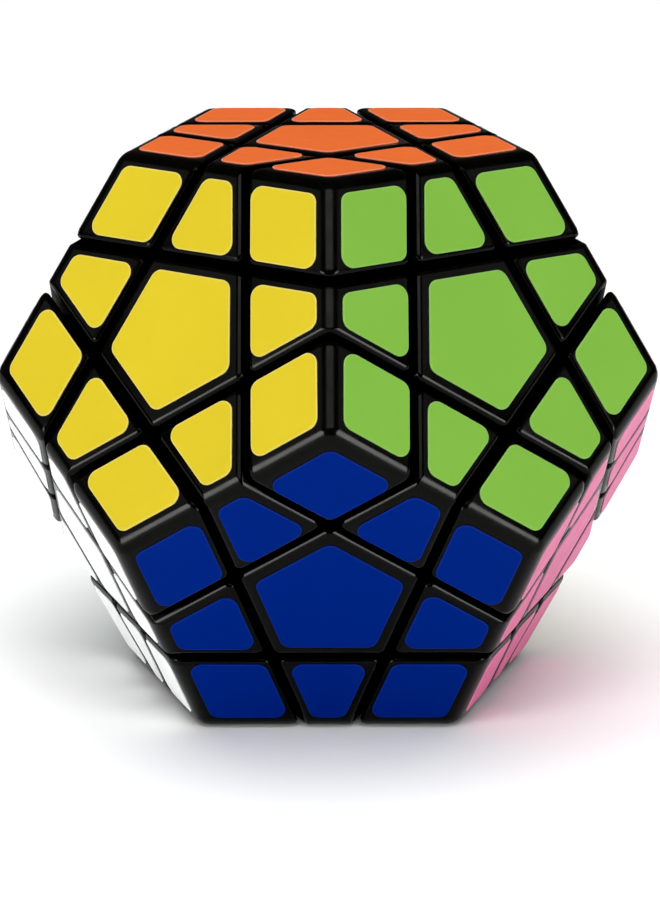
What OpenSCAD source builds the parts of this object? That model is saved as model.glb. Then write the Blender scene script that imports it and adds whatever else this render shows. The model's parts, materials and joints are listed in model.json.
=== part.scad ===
// Dodecahedron twisty puzzle: a core with twelve sprung centres, thirty edge
// pieces and twenty corner pieces. A face and the pieces round it make a layer,
// which turns about the face's own axis. The origin is the core's centre.

/* [Body] */
// Distance between two opposite faces
face_to_face = 69; // [68:0.5:71]
// Depth of a turning layer below its face
layer_depth = 10.8; // [10.4:0.1:11]
// Gap between two neighbouring pieces
piece_gap = 0.3; // [0.2:0.02:0.3]
// Thickness of the cap over a centre's screw
cap_thickness = 3; // [2.5:0.1:3.5]

/* [Mechanism] */
// Radius of the sphere on which the heads' undersides lie
head_seat_radius = 27; // [26.5:0.1:27.5]
// Radius of the sphere on which the feet's lower sides lie
foot_radius = 22; // [21.5:0.1:22.5]
// Half-angle of the cone that parts two layers between the heads
head_cone = 43; // [42:0.5:44]
// Half-angle of the cone that parts two layers between the feet
foot_cone = 52; // [51.5:0.1:52.5]

/* [Core] */
// Radius of the core's ball
core_radius = 13; // [11:0.5:14]
// Radius of a post on the core
post_radius = 3.6; // [3.2:0.1:4]
// Distance from the centre to the end of a post
post_reach = 20; // [19.5:0.1:20]

/* [Screws and springs] */
// Radius of a screw's shank
screw_radius = 1.5; // [1.3:0.1:1.6]
// Radius of a screw's head
screw_head_radius = 2.7; // [2.5:0.1:2.8]
// Thickness of a screw's head
screw_head_thickness = 1.8; // [1.4:0.1:2]
// Distance from the centre to the tip of a screw
screw_tip = 8; // [7.5:0.5:10]
// Thickness of a washer
washer_thickness = 0.5; // [0.4:0.1:0.6]
// Diameter of the spring wire
wire_diameter = 0.6; // [0.5:0.05:0.7]
// Turns in a spring
spring_turns = 4; // [3:0.5:5]

/* [Hidden] */
$fn = 96;

// Angle between the axes of two faces that share an edge
TILT = acos(1 / sqrt(5));
// Angles from the middle of an edge to the axes of its own faces, to its corners,
// and to the axes of the faces past its ends
EDGE_TO_FACE = TILT / 2;
EDGE_TO_CORNER = atan(2 / (3 + sqrt(5)));
EDGE_TO_END = 90 - EDGE_TO_FACE;

// Name of each face's colour, tilt of its axis from +Z, and turn about +Z from -Y
FACES = [
    ["orange", 0, 0],
    ["yellow", TILT, -36],
    ["green", TILT, 36],
    ["grey", TILT, 108],
    ["sky", TILT, 180],
    ["purple", TILT, -108],
    ["blue", 180 - TILT, 0],
    ["pink", 180 - TILT, 72],
    ["cream", 180 - TILT, 144],
    ["teal", 180 - TILT, -144],
    ["white", 180 - TILT, -72],
    ["red", 180, 0],
];
LAST = len(FACES) - 1;

// The three layers that have a joint: no two of them share a piece
TURNING = [0, 7, 10];

function axis_of(i) = let (tilt = FACES[i][1], turn = FACES[i][2])
    [sin(tilt) * sin(turn), -sin(tilt) * cos(turn), cos(tilt)];
function share_edge(i, j) = abs(axis_of(i) * axis_of(j) - cos(TILT)) < 0.01;
function neighbours(i) = [for (j = [0 : LAST]) if (share_edge(i, j)) j];
function turns(piece) = len([for (i = piece) if (search(i, TURNING) != []) i]) > 0;

EDGES = [for (i = [0 : LAST]) for (j = [i + 1 : 1 : LAST]) if (share_edge(i, j)) [i, j]];
CORNERS = [
    for (e = EDGES)
        for (k = [e[1] + 1 : 1 : LAST])
            if (share_edge(e[0], k) && share_edge(e[1], k)) [e[0], e[1], k]
];

// Corners with a node of their own: those of the three layers, and the front one
FRONT_CORNER = [1, 2, 6];
NAMED_CORNERS = [for (c = CORNERS) if (turns(c) || c == FRONT_CORNER) c];
REAR_CORNERS = [for (c = CORNERS) if (!turns(c) && c != FRONT_CORNER) c];
STILL_FACES = [for (i = [0 : LAST]) if (!turns([i])) i];

function colour(i) = FACES[i][0];
function edge_name(e) = str("edge_", colour(e[0]), "_", colour(e[1]));
function corner_name(c) = str("corner_", colour(c[0]), "_", colour(c[1]), "_", colour(c[2]));
function body_name(i) = str("centre_body_", colour(i));
function cap_name(i) = str("centre_cap_", colour(i));

half_gap = piece_gap / 2;
face_radius = face_to_face / 2;
cut_radius = face_radius - layer_depth;
// Lengths that reach past the puzzle's surface
reach = 1.35 * face_radius;
clear_reach = 1.8 * face_radius;
// Depth to which one solid of a piece runs into the next
fuse = 0.8;
// Distance from the centre to which a stalk runs up inside its head
stalk_reach = 33.5;

// Lean of the walls that lie inside a layer's cone: round a corner, where three
// cones meet, and beside an edge, as far out as the walls across its ends
function meeting(cone) = acos(cos(cone) / cos(EDGE_TO_FACE)) - EDGE_TO_CORNER;
function corner_lean(cone) = atan(tan(meeting(cone)) / 2);
function edge_lean(cone) = acos(cos(cone) / cos(EDGE_TO_END - foot_cone)) - EDGE_TO_FACE;

// Centre piece: a tube round the screw, with a floor that the spring presses on
hub_radius = 4.2;
bore_radius = 3.2;
floor_thickness = 2;
hub_end = post_reach + 0.3;
bore_floor = hub_end + floor_thickness;
screw_clearance = 0.06;
cap_seat = face_radius - cap_thickness;
plug_depth = 1.2;
plug_clearance = 0.05;

// Screw, washer and spring, each measured along the face's axis
screw_head_seat = 27.6;
washer_seat = screw_head_seat - washer_thickness;
washer_radius = 2.9;
recess_width = 0.7;
recess_length = 3.2;
recess_depth = 1.1;
spring_rest = 0.05;
wire_radius = wire_diameter / 2;
coil_radius = 2.5;
coil_bottom = bore_floor + spring_rest + wire_radius;
coil_top = washer_seat - wire_radius;
wire_sides = 5;
steps_per_turn = 9;

black = [0.04, 0.04, 0.05];
nylon = [0.82, 0.82, 0.78];
steel = [0.72, 0.73, 0.75];

// Stands a shape that points along +Z on the axis of face i
module on_face(i) {
    rotate([0, 0, FACES[i][2]])
        rotate([FACES[i][1], 0, 0])
            children();
}

// Stands a shape's Z on vector z, with its X leaning towards vector x
module towards(z, x) {
    up = z / norm(z);
    flat = x - (x * up) * up;
    out = flat / norm(flat);
    side = cross(up, out);
    multmatrix([
        [out[0], side[0], up[0], 0],
        [out[1], side[1], up[1], 0],
        [out[2], side[2], up[2], 0],
    ])
        children();
}

// Room inside a plane that leans by an angle from vector z towards vector x
module wall(z, x, angle) {
    towards(z, x)
        rotate([0, angle, 0])
            translate([-reach - half_gap, -reach, 0])
                cube([reach, 2 * reach, 2 * reach]);
}

// Slab between a layer's cut plane, moved out by inset, and the plane at height top
module slab(i, inset, top) {
    low = cut_radius + inset;
    on_face(i)
        translate([-reach, -reach, low])
            cube([2 * reach, 2 * reach, top - low]);
}

// Where the slabs of all the faces in a piece's list overlap
module head_slabs(piece) {
    intersection_for (i = piece)
        slab(i, half_gap, face_radius);
}

// The slabs of the layers beside a piece, grown by the gap
module slabs_beside(faces) {
    for (i = faces)
        slab(i, -half_gap, clear_reach);
}

module shell_of_feet() {
    difference() {
        sphere(r = head_seat_radius - half_gap);
        sphere(r = foot_radius);
    }
}

module shell_of_stalks() {
    difference() {
        sphere(r = stalk_reach);
        sphere(r = foot_radius);
    }
}

// Three walls round a corner's axis, all inside the cones of its three layers
module corner_walls(c, cone) {
    axis = axis_of(c[0]) + axis_of(c[1]) + axis_of(c[2]);
    intersection_for (i = c)
        wall(axis, -axis_of(i), corner_lean(cone));
}

// Corner: a three-sided head and stalk, and a foot that hooks under its neighbours
module corner_piece(c) {
    color(black)
        union() {
            head_slabs(c);
            intersection() {
                corner_walls(c, head_cone);
                shell_of_stalks();
            }
            intersection() {
                corner_walls(c, foot_cone);
                shell_of_feet();
            }
        }
}

// The two faces past the ends of an edge
function end_faces(e) = [for (k = neighbours(e[0])) if (share_edge(e[1], k)) k];

// Walls across the ends of an edge, outside the cones of the layers past them
module end_walls(e, cone) {
    intersection_for (h = end_faces(e))
        wall(axis_of(e[0]) + axis_of(e[1]), axis_of(h), EDGE_TO_END - cone);
}

// Walls along the sides of an edge's stalk, inside the cones of its two layers
module side_walls(e, cone) {
    axis = axis_of(e[0]) + axis_of(e[1]);
    intersection_for (i = e)
        wall(axis, -axis_of(i), edge_lean(cone));
}

module edge_head(e) {
    difference() {
        intersection() {
            head_slabs(e);
            end_walls(e, head_cone);
        }
        slabs_beside(end_faces(e));
    }
}

// Edge: a two-sided head, with a narrow stalk to a foot that hooks under the centres
module edge_piece(e) {
    color(black)
        union() {
            edge_head(e);
            intersection() {
                side_walls(e, head_cone);
                end_walls(e, foot_cone);
                shell_of_stalks();
            }
            intersection() {
                side_walls(e, foot_cone);
                end_walls(e, foot_cone);
                shell_of_feet();
            }
        }
}

// The five-sided block in the middle of a face
module centre_block(i) {
    difference() {
        intersection() {
            slab(i, half_gap, face_radius);
            intersection_for (j = neighbours(i))
                wall(axis_of(i), axis_of(j), TILT - head_cone);
        }
        slabs_beside(neighbours(i));
        sphere(r = head_seat_radius + half_gap);
    }
}

module above(i, z) {
    on_face(i)
        translate([0, 0, z])
            cylinder(r = reach, h = clear_reach - z);
}

module centre_body(i) {
    color(black)
        difference() {
            union() {
                centre_block(i);
                on_face(i)
                    translate([0, 0, hub_end])
                        cylinder(r = hub_radius, h = head_seat_radius + fuse - hub_end);
            }
            above(i, cap_seat);
            on_face(i) {
                translate([0, 0, bore_floor])
                    cylinder(r = bore_radius, h = face_radius - bore_floor);
                cylinder(r = screw_radius + screw_clearance, h = face_radius);
            }
        }
}

// Cap: closes a centre over its screw, with a plug that sits in the bore
module centre_cap(i) {
    color(black)
        union() {
            intersection() {
                centre_block(i);
                above(i, cap_seat);
            }
            on_face(i)
                translate([0, 0, cap_seat - plug_depth])
                    cylinder(r = bore_radius - plug_clearance, h = plug_depth + fuse);
        }
}

module core() {
    color(nylon)
        difference() {
            union() {
                sphere(r = core_radius);
                for (i = [0 : LAST])
                    on_face(i)
                        cylinder(r = post_radius, h = post_reach);
            }
            for (i = [0 : LAST])
                on_face(i)
                    translate([0, 0, screw_tip])
                        cylinder(r = screw_radius, h = post_reach);
        }
}

// Screw: its shank, and a round head with a cross recess
module screw() {
    translate([0, 0, screw_tip])
        cylinder(r = screw_radius, h = screw_head_seat - screw_tip + fuse);
    difference() {
        translate([0, 0, screw_head_seat])
            cylinder(r = screw_head_radius, h = screw_head_thickness);
        translate([0, 0, screw_head_seat + screw_head_thickness])
            for (turn = [0, 90])
                rotate([0, 0, turn])
                    cube([recess_length, recess_width, 2 * recess_depth], center = true);
    }
}

module screws() {
    color(steel)
        for (i = [0 : LAST])
            on_face(i)
                screw();
}

module washers() {
    color(steel)
        for (i = [0 : LAST])
            on_face(i)
                translate([0, 0, washer_seat])
                    difference() {
                        cylinder(r = washer_radius, h = washer_thickness);
                        translate([0, 0, -washer_thickness])
                            cylinder(r = screw_radius, h = 3 * washer_thickness);
                    }
}

// Height of the wire's centre after a share t of the coil: its end turns lie flat
function coil_height(t) = coil_bottom + (coil_top - coil_bottom) * (1 - cos(180 * t)) / 2;

module spring() {
    rings = spring_turns * steps_per_turn;
    points = [
        for (r = [0 : rings])
            for (s = [0 : wire_sides - 1])
                let (
                    turn = 360 * r / steps_per_turn,
                    side = 360 * s / wire_sides,
                    out = coil_radius + wire_radius * cos(side)
                )
                [out * cos(turn), out * sin(turn), coil_height(r / rings) + wire_radius * sin(side)]
    ];
    walls = [
        for (r = [0 : rings - 1])
            for (s = [0 : wire_sides - 1])
                let (
                    next = (s + 1) % wire_sides,
                    a = r * wire_sides,
                    b = a + wire_sides
                )
                [a + s, a + next, b + next, b + s]
    ];
    first_end = [for (s = [wire_sides - 1 : -1 : 0]) s];
    last_end = [for (s = [0 : wire_sides - 1]) rings * wire_sides + s];
    polyhedron(points = points, faces = concat([first_end, last_end], walls));
}

module springs() {
    color(steel)
        for (i = [0 : LAST])
            on_face(i)
                spring();
}

module centre_bodies() {
    for (i = STILL_FACES)
        centre_body(i);
}

module centre_caps() {
    for (i = STILL_FACES)
        centre_cap(i);
}

module rear_corners() {
    for (c = REAR_CORNERS)
        corner_piece(c);
}

core();
screws();
washers();
springs();
centre_bodies();
centre_caps();
for (i = TURNING) centre_body(i);
for (i = TURNING) centre_cap(i);
for (e = EDGES) edge_piece(e);
for (c = NAMED_CORNERS) corner_piece(c);
rear_corners();
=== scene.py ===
"""Looks of the dodecahedron twisty puzzle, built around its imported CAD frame.

Three CAD solids, an edge piece, a corner piece and a centre cap, are cleaned and get
rounded outer edges. Turned copies of these three stand at all 62 places. Vinyl stickers,
which the CAD doesn't hold, are laid on the faces. Lengths are in metres.
"""

import json
import math
import random

import bmesh
import bpy
from mathutils import Matrix, Vector


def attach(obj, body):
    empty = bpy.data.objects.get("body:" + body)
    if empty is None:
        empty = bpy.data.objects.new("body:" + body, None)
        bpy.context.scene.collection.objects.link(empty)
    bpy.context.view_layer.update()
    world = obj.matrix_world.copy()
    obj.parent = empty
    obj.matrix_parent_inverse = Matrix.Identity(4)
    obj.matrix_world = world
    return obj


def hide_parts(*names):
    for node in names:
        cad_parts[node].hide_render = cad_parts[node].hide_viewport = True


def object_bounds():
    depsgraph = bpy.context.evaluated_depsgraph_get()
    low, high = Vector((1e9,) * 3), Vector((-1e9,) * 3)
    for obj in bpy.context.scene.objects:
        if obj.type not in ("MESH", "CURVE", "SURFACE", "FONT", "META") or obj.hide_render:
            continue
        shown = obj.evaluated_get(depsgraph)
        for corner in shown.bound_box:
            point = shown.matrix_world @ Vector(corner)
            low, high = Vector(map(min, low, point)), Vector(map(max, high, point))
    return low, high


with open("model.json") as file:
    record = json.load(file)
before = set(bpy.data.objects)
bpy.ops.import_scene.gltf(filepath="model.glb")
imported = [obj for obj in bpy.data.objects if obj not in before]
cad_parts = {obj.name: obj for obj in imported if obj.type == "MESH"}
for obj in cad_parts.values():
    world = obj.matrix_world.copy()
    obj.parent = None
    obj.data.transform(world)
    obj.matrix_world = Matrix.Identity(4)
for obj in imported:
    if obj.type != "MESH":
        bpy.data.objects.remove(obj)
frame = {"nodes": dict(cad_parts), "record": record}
cad_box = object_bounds()
MM = 0.001

# Sizes that the frame gives
FACE_RADIUS = cad_box[1][2]

# Sizes that the CAD source also states
LAYER_DEPTH = 10.8 * MM
HALF_GAP = 0.15 * MM
CUT_RADIUS = FACE_RADIUS - LAYER_DEPTH

# How near two vectors or two planes of a CAD solid are when they count as the same
SAME_DIRECTION = 0.9999
SAME_COSINE = 0.01
SAME_PLACE = 0.01 * MM
# Distance under which two vertices of a CAD mesh are one
WELD = 0.002 * MM
# Angle under which two facets of a CAD mesh are one flat
FLAT_ANGLE = math.radians(0.5)

# Radii of the roundings on the moulded plastic
RIDGE_RADIUS = 2.3 * MM
SHARP_RIM_RADIUS = 0.72 * MM
BLUNT_RIM_RADIUS = 0.9 * MM
SHARP_INNER_RADIUS = 0.9 * MM
BLUNT_INNER_RADIUS = 1.3 * MM
ROUNDING_STEPS = 5
# How far the moulded side walls stand back from their CAD planes
WALL_SETBACK = 0.15 * MM
# Weight that keeps a vertex in place along the directions that no wall moves it in
HOLD = 1e-4

# Stickers
STICKER_THICKNESS = 0.14 * MM
STICKER_CORNER = 1.4 * MM
STICKER_CORNER_STEPS = 7
STICKER_LIP = 0.05 * MM
STICKER_LIP_STEPS = 3
# Width of the painted highlight band along a sticker's cut edge
EDGE_HIGHLIGHT_WIDTH = 0.13 * MM
STICKER_SLIP = 0.1 * MM
STICKER_TWIST = math.radians(0.4)
STICKER_SEED = 12
# How far a sticker ends from a cut, or from a ridge, along its face
CENTRE_INSET = 1.65 * MM
PIECE_INSET = 1.3 * MM
RIDGE_INSET = 1.75 * MM
# How much whiter the painted highlight along a sticker's cut edge makes it than its face
EDGE_HIGHLIGHT_SHARE = 0.6
# Angle over which an edge of a sticker is shaded as sharp
SHARP_ANGLE = math.radians(38)

# Camera, in the frame of the object
CAMERA_AZIMUTH = -0.4
CAMERA_ELEVATION = 14.6
CAMERA_DISTANCE = 0.529
CAMERA_LENS = 169.4
AIM = Vector((0.0003, 0.0, -0.0052))

# Light level that the display shows as black
BLACK_POINT = 0.0048

TILT = math.acos(1 / math.sqrt(5))
LOWER = math.pi - TILT
FACES = {
    "orange": (0, 0),
    "yellow": (TILT, -36),
    "green": (TILT, 36),
    "grey": (TILT, 108),
    "sky": (TILT, 180),
    "purple": (TILT, -108),
    "blue": (LOWER, 0),
    "pink": (LOWER, 72),
    "cream": (LOWER, 144),
    "teal": (LOWER, -144),
    "white": (LOWER, -72),
    "red": (math.pi, 0),
}
NAMES = list(FACES)


def face_axis(tilt, turn):
    """Unit vector out of a face, from its tilt off +Z and its turn about +Z from -Y."""
    turn = math.radians(turn)
    return Vector((math.sin(tilt) * math.sin(turn), -math.sin(tilt) * math.cos(turn), math.cos(tilt)))


AXIS = {name: face_axis(*place) for name, place in FACES.items()}


def share_edge(a, b):
    return abs(AXIS[a].dot(AXIS[b]) - math.cos(TILT)) < SAME_COSINE


def beside(name):
    return [other for other in NAMES if share_edge(name, other)]


EDGES = [(a, b) for i, a in enumerate(NAMES) for b in NAMES[i + 1:] if share_edge(a, b)]
CORNERS = [
    (a, b, c)
    for a, b in EDGES
    for c in NAMES[NAMES.index(b) + 1:]
    if share_edge(a, c) and share_edge(b, c)
]
NODE_BODY = {
    node: body
    for body, nodes in frame["record"]["behaviour"]["bodies"].items()
    for node in nodes
}
ROOT = NODE_BODY["core"]
LAYER_BODY = {
    name: NODE_BODY["centre_body_" + name]
    for name in NAMES
    if "centre_body_" + name in NODE_BODY
}


def body_of_piece(piece):
    """The body that a piece belongs to: the turning layer of one of its faces, or the root."""
    for name in piece:
        if name in LAYER_BODY:
            return LAYER_BODY[name]
    return ROOT


# ---------------------------------------------------------------- materials


class Nodes:
    """A short way to add and link the nodes of one material."""

    def __init__(self, name):
        self.material = bpy.data.materials.new(name)
        self.material.use_nodes = True
        self.tree = self.material.node_tree
        self.shader = self.tree.nodes["Principled BSDF"]
        self.place = self.add("ShaderNodeTexCoord").outputs["Object"]

    def add(self, kind, **values):
        node = self.tree.nodes.new(kind)
        for key, value in values.items():
            if hasattr(node, key):
                setattr(node, key, value)
            else:
                node.inputs[key.replace("_", " ")].default_value = value
        return node

    def link(self, source, target):
        self.tree.links.new(source, target)

    def noise(self, scale, detail=3.0, roughness=0.5):
        node = self.add("ShaderNodeTexNoise", Scale=scale, Detail=detail, Roughness=roughness)
        self.link(self.place, node.inputs["Vector"])
        return node.outputs["Fac"]

    def spread(self, source, low, high):
        """Maps a noise value onto the range from low to high."""
        node = self.add("ShaderNodeMapRange")
        node.inputs["From Min"].default_value = 0.3
        node.inputs["From Max"].default_value = 0.7
        node.inputs["To Min"].default_value = low
        node.inputs["To Max"].default_value = high
        self.link(source, node.inputs["Value"])
        return node.outputs["Result"]

    def between(self, factor, first, second):
        """Blends two colours by a factor."""
        node = self.add("ShaderNodeMix", data_type="RGBA")
        node.inputs["A"].default_value = (*first, 1)
        node.inputs["B"].default_value = (*second, 1)
        self.link(factor, node.inputs["Factor"])
        return node.outputs["Result"]

    def bump(self, height, distance, strength=1.0, after=None):
        node = self.add("ShaderNodeBump", Strength=strength, Distance=distance)
        self.link(height, node.inputs["Height"])
        if after is not None:
            self.link(after, node.inputs["Normal"])
        return node.outputs["Normal"]

    def use(self, **sockets):
        for key, source in sockets.items():
            target = self.shader.inputs[key.replace("_", " ")]
            if hasattr(source, "links"):
                self.link(source, target)
            else:
                target.default_value = source
        return self.material


def scaled(colour, factor):
    return tuple(channel * factor for channel in colour)


def black_plastic(name, roughness, mirror):
    """Moulded black ABS, with faint flow marks and a fine grain, and a range of roughness."""
    n = Nodes(name)
    cloud = n.noise(90, detail=4)
    colour = n.between(n.spread(cloud, 0, 1), (0.0022, 0.0022, 0.0019), (0.0034, 0.0033, 0.0030))
    flow = n.bump(n.noise(260, detail=2), 0.00004, 0.25)
    grain = n.bump(n.noise(5200, detail=2), 0.000006, 0.35, after=flow)
    return n.use(
        Base_Color=colour,
        Roughness=n.spread(n.noise(420, detail=4), *roughness),
        Normal=grain,
        Specular_IOR_Level=mirror,
    )


def vinyl(name, colour):
    """Sticker film: an even satin colour with a slight orange peel, and a painted highlight that
    whitens its cut edge.
    """
    n = Nodes("vinyl_" + name)
    cloud = n.spread(n.noise(70, detail=3), 0, 1)
    print_colour = n.between(cloud, scaled(colour, 0.97), scaled(colour, 1.02))
    # Painted highlight: the mask along the cut edge mixes in a whiter colour there
    edge = n.add("ShaderNodeAttribute", attribute_name="painted_edge_highlight").outputs["Fac"]
    light = EDGE_HIGHLIGHT_SHARE * max(colour) * sum(colour) / len(colour)
    highlight_colour = tuple(channel + light * (1 - channel) for channel in colour)
    film = n.add("ShaderNodeMix", data_type="RGBA")
    n.link(edge, film.inputs["Factor"])
    n.link(print_colour, film.inputs["A"])
    film.inputs["B"].default_value = (*highlight_colour, 1)
    peel = n.bump(n.noise(900, detail=2), 0.00001, 0.25)
    return n.use(
        Base_Color=film.outputs["Result"],
        Roughness=n.spread(n.noise(300, detail=3), 0.36, 0.46),
        Normal=peel,
        Specular_IOR_Level=0.04,
    )


def core_plastic():
    """Natural nylon of the hidden core."""
    n = Nodes("natural_nylon")
    cloud = n.spread(n.noise(120), 0, 1)
    return n.use(
        Base_Color=n.between(cloud, (0.66, 0.65, 0.58), (0.74, 0.73, 0.67)),
        Roughness=n.spread(n.noise(500), 0.42, 0.55),
        Normal=n.bump(n.noise(1500), 0.00001, 0.4),
    )


def steel():
    """Bright zinc-plated steel of the screws, washers and springs."""
    n = Nodes("plated_steel")
    cloud = n.spread(n.noise(400), 0, 1)
    return n.use(
        Base_Color=n.between(cloud, (0.55, 0.56, 0.58), (0.66, 0.66, 0.66)),
        Metallic=1.0,
        Roughness=n.spread(n.noise(1200), 0.22, 0.38),
        Normal=n.bump(n.noise(2500), 0.000004, 0.3),
    )


STICKER_COLOUR = {
    "orange": (0.62, 0.122, 0.026),
    "yellow": (0.475, 0.372, 0.017),
    "green": (0.148, 0.328, 0.042),
    "grey": (0.30, 0.31, 0.33),
    "sky": (0.16, 0.46, 0.72),
    "purple": (0.20, 0.05, 0.36),
    "blue": (0.0, 0.0125, 0.150),
    "pink": (0.66, 0.15, 0.31),
    "cream": (0.80, 0.70, 0.44),
    "teal": (0.0, 0.16, 0.09),
    "white": (0.86, 0.87, 0.87),
    "red": (0.50, 0.010, 0.018),
}
BLACK = black_plastic("black_abs", (0.16, 0.25), 0.08)
WALL_BLACK = black_plastic("black_abs_wall", (0.55, 0.68), 0.03)
NYLON = core_plastic()
STEEL = steel()
VINYL = {name: vinyl(name, colour) for name, colour in STICKER_COLOUR.items()}


def paint(piece, material):
    piece.data.materials.clear()
    piece.data.materials.append(material)


# ---------------------------------------------------------------- moulded pieces


def plane_kind(face):
    """Says whether a flat of a CAD solid is an outer face, a cut beside one, or neither."""
    distance = face.calc_center_median().dot(face.normal)
    for axis in AXIS.values():
        along = face.normal.dot(axis)
        if along > SAME_DIRECTION and abs(distance - FACE_RADIUS) < SAME_PLACE:
            return "outer"
        if along > SAME_DIRECTION and abs(distance - CUT_RADIUS + HALF_GAP) < SAME_PLACE:
            return "cut"
        if along < -SAME_DIRECTION and abs(distance + CUT_RADIUS + HALF_GAP) < SAME_PLACE:
            return "cut"
    return "inner"


def stand_back(shape, kinds):
    """Moves the side walls of a piece inwards, and keeps its outer faces where they are."""
    moves = {}
    for vertex in shape.verts:
        normals = [f.normal for f in vertex.link_faces]
        wanted = [-WALL_SETBACK * (kinds[f.index] == "cut") for f in vertex.link_faces]
        if any(wanted):
            moves[vertex] = nearest_move(normals, wanted)
    for vertex, move in moves.items():
        vertex.co += move


def nearest_move(normals, wanted):
    """The move that best shifts each plane through a point by its wanted distance."""
    square = Matrix(((0,) * 3,) * 3)
    total = Vector()
    for normal, distance in zip(normals, wanted):
        square += Matrix([[a * b for b in normal] for a in normal])
        total += distance * normal
    square += Matrix.Identity(3) * HOLD
    return square.inverted() @ total


def rounding_of(edge, kinds):
    """How far a rounding reaches from an edge along its two flats: 0 where none is made."""
    if len(edge.link_faces) != 2:
        return 0
    pair = sorted(kinds[f.index] for f in edge.link_faces)
    turn = edge.calc_face_angle()
    sharp = turn > math.pi / 2
    if pair == ["outer", "outer"]:
        radius = RIDGE_RADIUS
    elif pair == ["cut", "outer"]:
        radius = SHARP_RIM_RADIUS if sharp else BLUNT_RIM_RADIUS
    elif pair == ["cut", "cut"]:
        radius = SHARP_INNER_RADIUS if sharp else BLUNT_INNER_RADIUS
    else:
        return 0
    return radius * math.tan(turn / 2)


def moulded(node):
    """A piece's finished mesh, made from its CAD solid with its outer edges rounded.

    Outer faces and roundings take the first material, and all other faces the second.
    """
    source = frame["nodes"][node]
    shape = bmesh.new()
    shape.from_mesh(source.data)
    bmesh.ops.remove_doubles(shape, verts=shape.verts, dist=WELD)
    bmesh.ops.dissolve_limit(shape, angle_limit=FLAT_ANGLE, verts=shape.verts, edges=shape.edges)
    shape.faces.index_update()
    kinds = {f.index: plane_kind(f) for f in shape.faces}
    stand_back(shape, kinds)
    weight = shape.edges.layers.float.new("bevel_weight_edge")
    reach = [rounding_of(edge, kinds) for edge in shape.edges]
    widest = max(reach)
    for edge, length in zip(shape.edges, reach):
        edge[weight] = length / widest
    for face in shape.faces:
        face.material_index = 0 if kinds[face.index] == "outer" else 1
    mesh = bpy.data.meshes.new("shape_" + node)
    mesh.materials.append(BLACK)
    mesh.materials.append(WALL_BLACK)
    shape.to_mesh(mesh)
    shape.free()
    return rounded(mesh, widest)


def rounded(mesh, width):
    """Applies a weighted rounding to a mesh and keeps its flats flat in the shading."""
    helper = bpy.data.objects.new("helper", mesh)
    bpy.context.scene.collection.objects.link(helper)
    mesh.shade_smooth()
    bevel = helper.modifiers.new("rounding", "BEVEL")
    bevel.limit_method = "WEIGHT"
    bevel.width = width
    bevel.segments = ROUNDING_STEPS
    bevel.use_clamp_overlap = False
    bevel.harden_normals = True
    bevel.material = 0
    done = bpy.data.meshes.new_from_object(
        helper.evaluated_get(bpy.context.evaluated_depsgraph_get())
    )
    bpy.data.objects.remove(helper)
    return done


def stand(main, lean):
    """Turns +Z onto one vector, with +X leaning towards another."""
    up = main.normalized()
    out = (lean - up * lean.dot(up)).normalized()
    side = up.cross(out)
    return Matrix((out, side, up)).transposed().to_4x4()


def turned(first, second):
    """The rotation that carries one pair of directions onto another pair."""
    return stand(*second) @ stand(*first).inverted()


def add_piece(name, mesh, place, body, slot, *nodes):
    """Adds a turned copy of a finished mesh, which stands for CAD nodes."""
    copy = mesh.copy()
    copy.name = name
    copy.transform(place)
    piece = bpy.data.objects.new(name, copy)
    bpy.context.scene.collection.objects.link(piece)
    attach(piece, body)
    if nodes:
        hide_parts(*nodes)
    return piece


def joined(kind, names):
    return kind + "_" + "_".join(names)


def add_edges():
    first = ("yellow", "green")
    mesh = moulded(joined("edge", first))
    for pair in EDGES:
        place = turned([AXIS[n] for n in first], [AXIS[n] for n in pair])
        node = joined("edge", pair)
        add_piece(node + "_moulding", mesh, place, body_of_piece(pair), "body_plastic", node)


def add_corners():
    first = ("yellow", "green", "blue")
    mesh = moulded(joined("corner", first))
    middle = sum((AXIS[n] for n in first), Vector())
    for trio in CORNERS:
        node = joined("corner", trio)
        ahead = sum((AXIS[n] for n in trio), Vector())
        place = turned((middle, AXIS[first[0]]), (ahead, AXIS[trio[0]]))
        stands_for = [node] if node in NODE_BODY else []
        piece = add_piece(
            node + "_moulding", mesh, place, body_of_piece(trio), "body_plastic", *stands_for
        )
    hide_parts("rear_corners")


def add_centres():
    cap = moulded("centre_cap_orange")
    for name in NAMES:
        place = turned((AXIS["orange"], AXIS["yellow"]), (AXIS[name], AXIS[beside(name)[0]]))
        node = "centre_cap_" + name
        stands_for = [node] if node in NODE_BODY else []
        piece = add_piece(
            node + "_moulding", cap, place, body_of_piece([name]), "cap_plastic", *stands_for
        )
    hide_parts("centre_caps")


# ---------------------------------------------------------------- stickers


def clipped(outline, axis, distance, keep_inside=True):
    """The part of a flat outline that lies on one side of a plane."""
    sign = 1 if keep_inside else -1
    height = [sign * (p.dot(axis) - distance) for p in outline]
    kept = []
    for i, point in enumerate(outline):
        j = (i + 1) % len(outline)
        if height[i] <= 0:
            kept.append(point)
        if height[i] * height[j] < 0:
            share = height[i] / (height[i] - height[j])
            kept.append(point.lerp(outline[j], share))
    return kept


def face_outline(name):
    """A face's whole outline, as far in from its ridges as a sticker may reach."""
    axis = AXIS[name]
    place = stand(axis, AXIS[beside(name)[0]])
    wide = 2 * FACE_RADIUS
    square = [(-wide, -wide), (wide, -wide), (wide, wide), (-wide, wide)]
    outline = [place @ Vector((x, y, FACE_RADIUS)) for x, y in square]
    for other in beside(name):
        outline = clipped(outline, AXIS[other], FACE_RADIUS - RIDGE_INSET * math.sin(TILT))
    return outline


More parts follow.
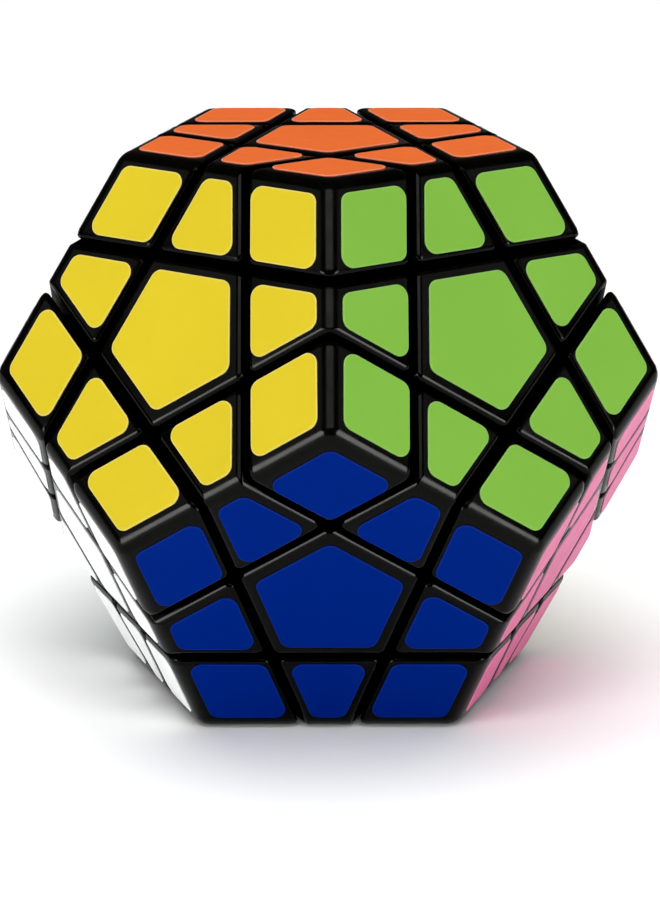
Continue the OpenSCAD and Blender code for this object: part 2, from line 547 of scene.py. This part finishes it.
def sticker_outline(name, piece):
    """The sticker that one face of a piece carries, with sharp corners."""
    inset = CENTRE_INSET if len(piece) == 1 else PIECE_INSET
    step = inset * math.sin(TILT)
    outline = face_outline(name)
    for other in beside(name):
        if other in piece:
            outline = clipped(outline, AXIS[other], CUT_RADIUS + step, keep_inside=False)
        else:
            outline = clipped(outline, AXIS[other], CUT_RADIUS - step)
    return outline


def rounded_outline(outline, radius, steps=STICKER_CORNER_STEPS):
    """Rounds the corners of a flat convex outline with arcs."""
    points = []
    count = len(outline)
    for i, corner in enumerate(outline):
        back = (outline[i - 1] - corner).normalized()
        ahead = (outline[(i + 1) % count] - corner).normalized()
        half = back.angle(ahead) / 2
        middle = corner + (back + ahead).normalized() * (radius / math.sin(half))
        start = (corner + back * (radius / math.tan(half)) - middle).normalized()
        end = (corner + ahead * (radius / math.tan(half)) - middle).normalized()
        for s in range(steps + 1):
            points.append(middle + radius * start.slerp(end, s / steps))
    return points


def laid_by_hand(outline, axis, chance):
    """A sticker's outline, a little off its place and a little turned."""
    middle = sum(outline, Vector()) / len(outline)
    twist = Matrix.Rotation(chance.uniform(-1, 1) * STICKER_TWIST, 3, axis)
    along = (outline[0] - middle).normalized()
    across = axis.cross(along)
    slip = STICKER_SLIP * (chance.uniform(-1, 1) * along + chance.uniform(-1, 1) * across)
    return [middle + slip + twist @ (point - middle) for point in outline]


def sticker_mesh(name, outline, axis):
    """A thin film with a rounded lip, standing on its face, and marked along its cut edge for a
    painted highlight.
    """
    count = len(outline)
    middle = sum(outline, Vector()) / count
    inward = []
    for i, point in enumerate(outline):
        along = outline[(i + 1) % count] - outline[i - 1]
        square = axis.cross(along).normalized()
        inward.append(square if square.dot(middle - point) > 0 else -square)
    levels = [(0, 0), (STICKER_THICKNESS - STICKER_LIP, 0)]
    for s in range(1, STICKER_LIP_STEPS + 1):
        turn = s / STICKER_LIP_STEPS * math.pi / 2
        rise = STICKER_THICKNESS - STICKER_LIP * (1 - math.sin(turn))
        levels.append((rise, STICKER_LIP * (1 - math.cos(turn))))
    levels.append((STICKER_THICKNESS, EDGE_HIGHLIGHT_WIDTH))
    levels.append((STICKER_THICKNESS, EDGE_HIGHLIGHT_WIDTH + STICKER_LIP))
    shape = bmesh.new()
    mark = shape.verts.layers.float.new("painted_edge_highlight")
    rings = []
    for rise, inset in levels:
        ring = [
            shape.verts.new(point + inset * inward[i] + axis * rise)
            for i, point in enumerate(outline)
        ]
        # Rings out to the edge band's width carry the mask of the painted highlight
        for vertex in ring:
            vertex[mark] = 1 if inset <= EDGE_HIGHLIGHT_WIDTH else 0
        rings.append(ring)
    for low, high in zip(rings, rings[1:]):
        for i in range(count):
            j = (i + 1) % count
            shape.faces.new((low[i], low[j], high[j], high[i]))
    shape.faces.new(rings[-1])
    shape.faces.new(list(reversed(rings[0])))
    bmesh.ops.recalc_face_normals(shape, faces=shape.faces)
    mesh = bpy.data.meshes.new(name)
    shape.to_mesh(mesh)
    shape.free()
    mesh.shade_smooth()
    mesh.set_sharp_from_angle(angle=SHARP_ANGLE)
    return mesh


def add_sticker(face, piece, chance):
    others = [n for n in piece if n != face]
    name = joined("sticker", [face] + others)
    outline = rounded_outline(sticker_outline(face, piece), STICKER_CORNER)
    outline = laid_by_hand(outline, AXIS[face], chance)
    film = bpy.data.objects.new(name, sticker_mesh(name, outline, AXIS[face]))
    bpy.context.scene.collection.objects.link(film)
    paint(film, VINYL[face])
    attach(film, body_of_piece(piece))


def add_stickers():
    chance = random.Random(STICKER_SEED)
    for piece in [(name,) for name in NAMES] + EDGES + CORNERS:
        for face in piece:
            add_sticker(face, piece, chance)


# ---------------------------------------------------------------- CAD nodes that stay


def finish_nodes():
    """Gives the CAD nodes that no finished mesh replaces their materials."""
    for node, thing in frame["nodes"].items():
        if node == "core":
            paint(thing, NYLON)
        elif node in ("screws", "washers", "springs"):
            paint(thing, STEEL)
        elif node.startswith("centre_bod"):
            paint(thing, BLACK)


# ---------------------------------------------------------------- set and light


def add_floor():
    """A pale seamless floor under the face that the puzzle stands on."""
    underside = cad_box[0][2] - STICKER_THICKNESS
    bpy.ops.mesh.primitive_circle_add(
        vertices=96, radius=6, fill_type="NGON", location=(0, 0, underside)
    )
    floor = bpy.context.object
    floor.name = "studio_floor"
    n = Nodes("floor_paper")
    cloud = n.spread(n.noise(12), 0, 1)
    paint(floor, n.use(
        Base_Color=n.between(cloud, (0.89, 0.89, 0.89), (0.91, 0.91, 0.91)),
        Roughness=0.75,
        Specular_IOR_Level=0.11,
    ))


def add_light(name, azimuth, elevation, distance, size, radiance, mirrored=True, lighting=True):
    """A rectangular soft box that faces the puzzle, as bright as a surface of that radiance.

    One that isn't mirrored doesn't show in reflections, and one that isn't lighting shows
    only in them.
    """
    data = bpy.data.lights.new(name, "AREA")
    data.shape = "RECTANGLE"
    data.size, data.size_y = size
    data.energy = radiance * math.pi * size[0] * size[1]
    light = bpy.data.objects.new(name, data)
    bpy.context.scene.collection.objects.link(light)
    light.location = distance * towards(azimuth, elevation)
    light.rotation_euler = (-light.location).to_track_quat("-Z", "Y").to_euler()
    light.visible_glossy = mirrored
    light.visible_diffuse = lighting


def towards(azimuth, elevation):
    """Unit vector at an azimuth from -Y towards +X and an elevation, both in degrees."""
    azimuth, elevation = math.radians(azimuth), math.radians(elevation)
    flat = math.cos(elevation)
    return Vector((flat * math.sin(azimuth), -flat * math.cos(azimuth), math.sin(elevation)))


def add_lights():
    world = bpy.data.worlds.new("studio")
    bpy.context.scene.world = world
    world.use_nodes = True
    world.node_tree.nodes["Background"].inputs["Color"].default_value = (1, 1, 1, 1)
    world.node_tree.nodes["Background"].inputs["Strength"].default_value = 0.08
    add_light("overhead_box", 180, 84, 1.6, (2.6, 2.2), 2.25, mirrored=False)
    add_light("front_fill", 0, 32, 1.6, (1.4, 0.8), 1.25, mirrored=False)
    add_light("front_box", 0, 52, 1.6, (0.9, 0.27), 10.5, mirrored=False)
    add_light("front_card", 0, 52, 1.5, (0.9, 0.27), 4.8, lighting=False)
    add_light("left_fill", -49, 7, 1.5, (0.62, 0.46), 13.5, mirrored=False)
    add_light("right_fill", 49, 7, 1.5, (0.62, 0.46), 9.0, mirrored=False)
    add_light("left_box", -50, 7, 1.5, (0.6, 0.55), 21.0, lighting=False)
    add_light("right_box", 50, 7, 1.5, (0.6, 0.55), 21.0, lighting=False)
    add_light("left_card", -78, 32, 1.5, (0.9, 0.55), 1.0, lighting=False)
    add_light("right_card", 78, 32, 1.5, (0.9, 0.55), 1.0, lighting=False)


def add_camera():
    data = bpy.data.cameras.new("photo_camera")
    data.lens = CAMERA_LENS
    data.clip_start = 0.01
    data.clip_end = 50
    camera = bpy.data.objects.new("photo_camera", data)
    bpy.context.scene.collection.objects.link(camera)
    camera.location = CAMERA_DISTANCE * towards(CAMERA_AZIMUTH, CAMERA_ELEVATION)
    camera.rotation_euler = (AIM - camera.location).to_track_quat("-Z", "Y").to_euler()
    bpy.context.scene.camera = camera


def set_exposure():
    """A plain display curve, with the deepest shadows taken to black."""
    shown = bpy.context.scene.view_settings
    shown.view_transform = "Standard"
    shown.use_curve_mapping = True
    shown.curve_mapping.black_level = (BLACK_POINT,) * 3
    shown.curve_mapping.update()


add_edges()
add_corners()
add_centres()
add_stickers()
finish_nodes()
add_floor()
add_lights()
add_camera()
set_exposure()
